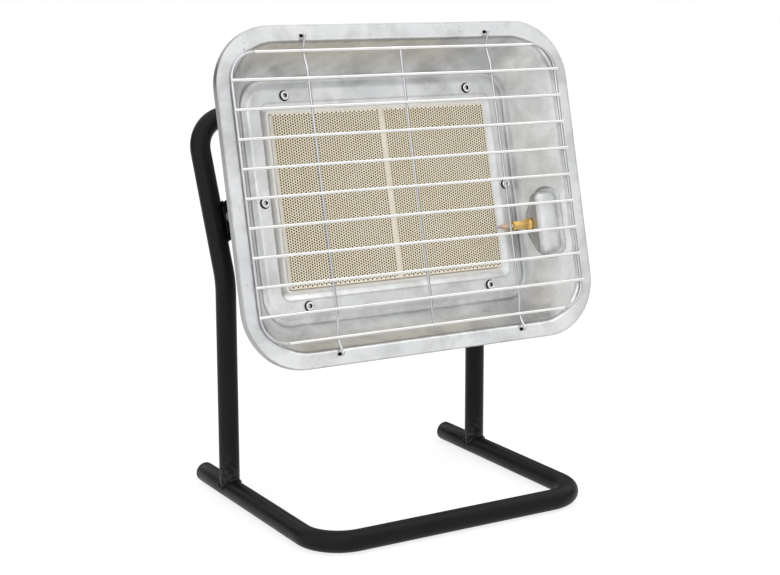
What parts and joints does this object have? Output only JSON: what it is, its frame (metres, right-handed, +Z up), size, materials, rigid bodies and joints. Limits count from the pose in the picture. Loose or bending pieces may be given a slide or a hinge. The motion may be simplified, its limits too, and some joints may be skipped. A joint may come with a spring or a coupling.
{
  "type": "portable propane heater",
  "caption": "Portable infrared propane heater: a dished reflector with perforated ceramic plaques behind a wire guard, tilting between the leaning uprights of a bent-tube stand.",
  "frame": {"origin": "on the floor, under the middle of the heater's width and length", "axes": "+X to the right seen from in front, -Y towards the front, +Z up"},
  "size_m": [0.305, 0.2246, 0.3708],
  "materials": {
    "black_paint": "satin",
    "bracket_paint": "satin",
    "black_plastic": "matte",
    "zinc_steel": "zinc plated",
    "fibre_washer": "matte",
    "reflector_sheet": "bright, scuffed",
    "casing_sheet": "aluminised",
    "rivet_steel": "satin",
    "ceramic": "matte, porous",
    "ceramic_fibre": "matte",
    "brass": "satin",
    "collar_plastic": "matte",
    "red_plastic": "gloss",
    "rubber": "matte",
    "poppet_rubber": "matte",
    "spring_steel": "bright",
    "copper": "drawn",
    "probe_steel": "satin",
    "guard_wire": "zinc plated"
  },
  "bodies": {
    "stand": {"base_tube": "black_paint", "base_end_plugs": "black_plastic", "upright_tube": "black_paint", "pivot_arm_left": "black_paint", "pivot_arm_right": "black_paint", "pivot_bolts": "zinc_steel", "friction_washers": "fibre_washer"},
    "head": {"reflector": "reflector_sheet", "burner_casing": "casing_sheet", "casing_rivets": "rivet_steel", "tile_left": "ceramic", "tile_right": "ceramic", "tile_joint_strip": "ceramic_fibre", "tile_seal": "ceramic_fibre", "tile_rest": "casing_sheet", "mixing_tube": "casing_sheet", "injector_cage": "zinc_steel", "injector": "brass", "valve_body": "brass", "button_collar": "collar_plastic", "stem_seal": "rubber", "button_spring": "spring_steel", "poppet_spring": "spring_steel", "magnet_unit": "spring_steel", "magnet_housing": "brass", "gas_inlet": "brass", "lead_nut": "brass", "thermocouple_lead": "copper", "thermocouple_nut": "brass", "thermocouple_locknut": "brass", "thermocouple_probe": "probe_steel", "head_bracket": "bracket_paint", "bracket_screws": "zinc_steel", "bracket_nuts": "zinc_steel", "guard_ring": "guard_wire", "guard_crosswires": "guard_wire", "guard_hook_wires": "guard_wire", "guard_centre_wire": "guard_wire"},
    "nut_left": {"wing_nut_left": "zinc_steel"},
    "nut_right": {"wing_nut_right": "zinc_steel"},
    "button": {"push_button": "red_plastic"},
    "poppet": {"valve_poppet": "poppet_rubber"}
  },
  "joints": [
    {"name": "head_tilt", "type": "hinge", "parent": "stand", "child": "head", "pos_m": [0, 0.05522, 0.22349], "axis": [-1, 0, 0], "range_deg": [-15, 30]},
    {"name": "nut_left_turn", "type": "hinge", "parent": "stand", "child": "nut_left", "pos_m": [-0.0945, 0.05522, 0.22349], "axis": [1, 0, 0], "range_deg": [-180, 180]},
    {"name": "nut_right_turn", "type": "hinge", "parent": "stand", "child": "nut_right", "pos_m": [0.0945, 0.05522, 0.22349], "axis": [-1, 0, 0], "range_deg": [-180, 180]},
    {"name": "button_press", "type": "slide", "parent": "head", "child": "button", "axis": [0, 0.2368, 0.9715], "range_m": [0, 0.005], "stiffness_N_per_m": 300, "springref_m": -0.01, "deforming": ["button_spring"]},
    {"name": "poppet_lift", "type": "slide", "parent": "head", "child": "poppet", "axis": [0, 0.2368, 0.9715], "range_m": [0, 0.005], "stiffness_N_per_m": 150, "springref_m": -0.01, "deforming": ["poppet_spring"]}
  ],
  "couplings": [
    {"joint": "poppet_lift", "follows": "button_press", "ratio": 1}
  ]
}
